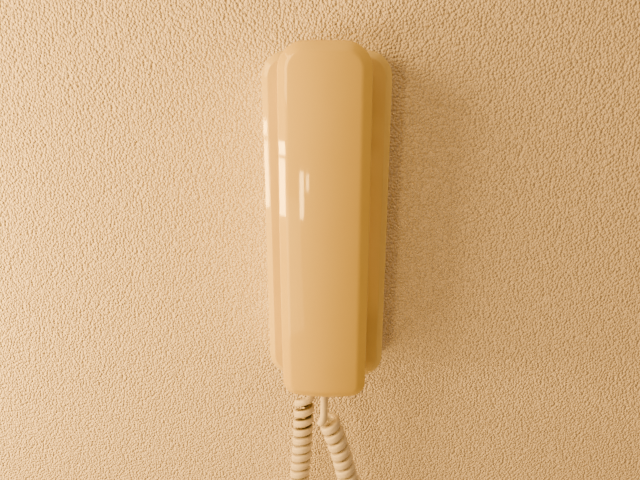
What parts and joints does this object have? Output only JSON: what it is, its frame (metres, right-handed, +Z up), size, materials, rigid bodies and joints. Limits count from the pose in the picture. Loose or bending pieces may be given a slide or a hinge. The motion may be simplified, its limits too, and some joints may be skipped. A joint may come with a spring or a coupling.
{
  "type": "wall telephone",
  "caption": "Slim wall-hung handset telephone: a crowned, bevelled handset hangs upright on a tab of a narrow wall base, with a curly cord looping below.",
  "frame": {"origin": "midway between the two wall screws, on the wall plane", "axes": "+X to the right as seen from the room, +Y into the wall, +Z up"},
  "size_m": [0.0723, 0.0546, 0.3751],
  "materials": {
    "cream_plastic": "moulded cream plastic, soft gloss",
    "cord": "ivory cord sheath, satin",
    "cream_rubber": "soft ivory bush",
    "black_rubber": "matt",
    "dark_plastic": "matt",
    "paper": "dark pressed paper",
    "board": "brown laminate",
    "wire": "insulated leads",
    "steel": "zinc plated",
    "brass": "plain",
    "iron": "dark core",
    "aluminium": "drawn can"
  },
  "bodies": {
    "base": {"wall_bracket": "steel", "base_rear_cover": "cream_plastic", "base_front_case": "cream_plastic", "rear_cover_screws": "steel", "circuit_board": "board", "circuit_board_screws": "steel", "terminal_block": "dark_plastic", "terminal_screws": "brass", "line_transformer": "iron", "capacitors": "aluminium", "chime_speaker_frame": "steel", "chime_speaker_cone": "paper", "chime_speaker_magnet": "iron", "hook_switch": "dark_plastic", "hook_spring": "steel", "volume_switch": "dark_plastic", "base_cord_grommet": "cream_rubber", "base_wires": "wire", "curly_cord": "cord"},
    "handset": {"handset_shell": "cream_plastic", "handset_inner_cover": "cream_plastic", "receiver_gasket": "black_rubber", "receiver_capsule": "aluminium", "microphone_boot": "black_rubber", "microphone_capsule": "aluminium", "handset_screws": "steel", "handset_cord_grommet": "cream_rubber", "handset_wires": "wire"},
    "hook_plunger": {"hook_plunger": "cream_plastic"},
    "volume_slider": {"volume_slider": "cream_plastic"}
  },
  "joints": [
    {"name": "handset_lift", "type": "slide", "parent": "base", "child": "handset", "axis": [0, -0.9063, 0.4226], "range_m": [0, 0.09], "deforming": ["curly_cord"]},
    {"name": "hook_travel", "type": "slide", "parent": "base", "child": "hook_plunger", "axis": [0, -1, 0], "range_m": [0, 0.003], "deforming": ["hook_spring"]},
    {"name": "volume_slide", "type": "slide", "parent": "base", "child": "volume_slider", "axis": [0, 0, 1], "range_m": [0, 0.004]}
  ],
  "couplings": [
    {"joint": "hook_travel", "follows": "handset_lift", "ratio": 0.0333}
  ]
}
